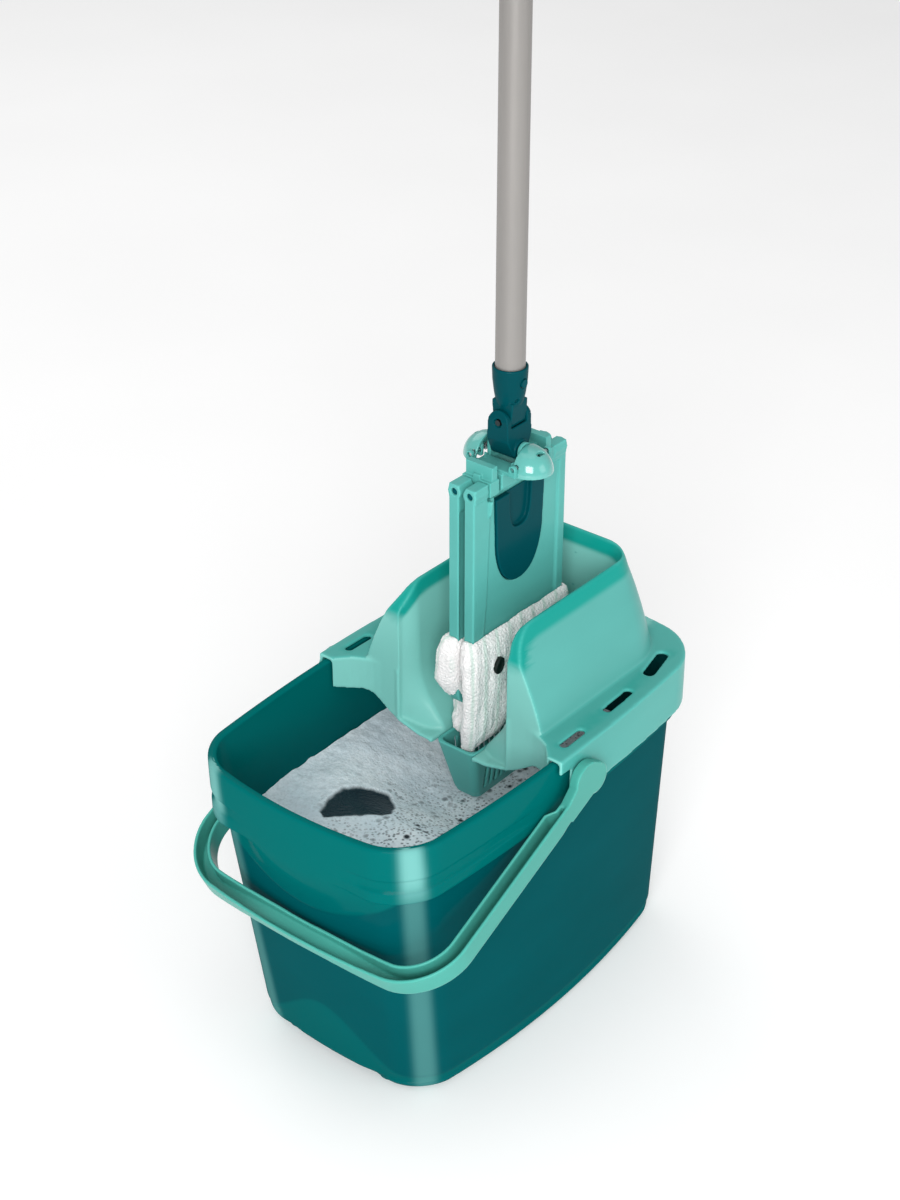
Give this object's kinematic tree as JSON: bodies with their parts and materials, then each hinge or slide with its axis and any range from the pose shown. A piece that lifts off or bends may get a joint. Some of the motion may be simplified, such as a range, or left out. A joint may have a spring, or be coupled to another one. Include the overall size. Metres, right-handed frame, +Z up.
{
  "type": "folding flat mop with bucket and press",
  "caption": "Folding flat mop with hinged wings and a cloth cover, standing in the slotted press of a rectangular bucket with a bail handle.",
  "frame": {"origin": "on the floor under the middle of the bucket's rim", "axes": "+Z up along the pole, +X towards the press end of the bucket, Y across it"},
  "size_m": [0.3757, 0.252, 1.641],
  "materials": {
    "bucket_plastic": "glossy dark teal",
    "light_plastic": "satin light teal",
    "dark_plastic": "satin dark teal",
    "grip_plastic": "matt dark teal",
    "microfibre": "fuzzy off-white with pale green stripes",
    "pole_aluminium": "grey coated",
    "steel": "plain"
  },
  "bodies": {
    "bucket": {"bucket_shell": "bucket_plastic"},
    "bail": {"bail_handle": "light_plastic"},
    "press": {"press_funnel": "light_plastic", "strainer_basket": "light_plastic"},
    "mop": {"head_frame": "light_plastic", "yoke_pin": "steel", "hinge_pin_near": "dark_plastic", "hinge_pin_far": "dark_plastic", "pedal_pin_near": "steel", "pedal_pin_far": "steel", "pedal_spring_near": "steel", "pedal_spring_far": "steel"},
    "near_wing": {"wing_near": "light_plastic", "insert_near": "dark_plastic", "cover_near": "microfibre"},
    "far_wing": {"wing_far": "light_plastic", "insert_far": "dark_plastic", "cover_far": "microfibre"},
    "near_pedal": {"pedal_near": "light_plastic"},
    "far_pedal": {"pedal_far": "light_plastic"},
    "yoke_link": {"yoke": "dark_plastic", "socket_pin": "steel"},
    "pole": {"pole_socket": "dark_plastic", "pole_tube": "pole_aluminium", "pole_grip": "grip_plastic", "end_cap": "dark_plastic", "click_spring": "steel"},
    "button": {"click_button": "dark_plastic"}
  },
  "joints": [
    {"name": "bail_hinge", "type": "hinge", "parent": "bucket", "child": "bail", "pos_m": [0.014, 0, 0.231], "axis": [0, -1, 0], "range_deg": [-107, 0]},
    {"name": "press_lift", "type": "slide", "parent": "bucket", "child": "press", "axis": [0, 0, 1], "range_m": [0, 0.12]},
    {"name": "mop_lift", "type": "slide", "parent": "press", "child": "mop", "axis": [0, 0, 1], "range_m": [0, 1.2]},
    {"name": "wing_near_fold", "type": "hinge", "parent": "mop", "child": "near_wing", "pos_m": [0.066, -0.007, 0.424], "axis": [-1, 0, 0], "range_deg": [0, 90]},
    {"name": "wing_far_fold", "type": "hinge", "parent": "mop", "child": "far_wing", "pos_m": [0.066, 0.007, 0.424], "axis": [1, 0, 0], "range_deg": [0, 90]},
    {"name": "pedal_near_press", "type": "hinge", "parent": "mop", "child": "near_pedal", "pos_m": [0.066, -0.0195, 0.4365], "axis": [1, 0, 0], "range_deg": [0, 10], "stiffness_Nm_per_rad": 0.3, "springref_deg": -5.73},
    {"name": "pedal_far_press", "type": "hinge", "parent": "mop", "child": "far_pedal", "pos_m": [0.066, 0.0195, 0.4365], "axis": [-1, 0, 0], "range_deg": [0, 10], "stiffness_Nm_per_rad": 0.3, "springref_deg": -5.73},
    {"name": "yoke_tilt", "type": "hinge", "parent": "mop", "child": "yoke_link", "pos_m": [0.066, 0, 0.442], "axis": [0, 1, 0], "range_deg": [-60, 60]},
    {"name": "pole_tilt", "type": "hinge", "parent": "yoke_link", "child": "pole", "pos_m": [0.066, 0, 0.465], "axis": [1, 0, 0], "range_deg": [-70, 70]},
    {"name": "click_press", "type": "slide", "parent": "pole", "child": "button", "axis": [0, 1, 0], "range_m": [0, 0.0026], "stiffness_N_per_m": 600, "springref_m": -0.002, "deforming": ["click_spring"]}
  ],
  "couplings": [
    {"joint": "wing_near_fold", "follows": "mop_lift", "rad_per_m": 1.3085},
    {"joint": "wing_far_fold", "follows": "mop_lift", "rad_per_m": 1.3085}
  ]
}
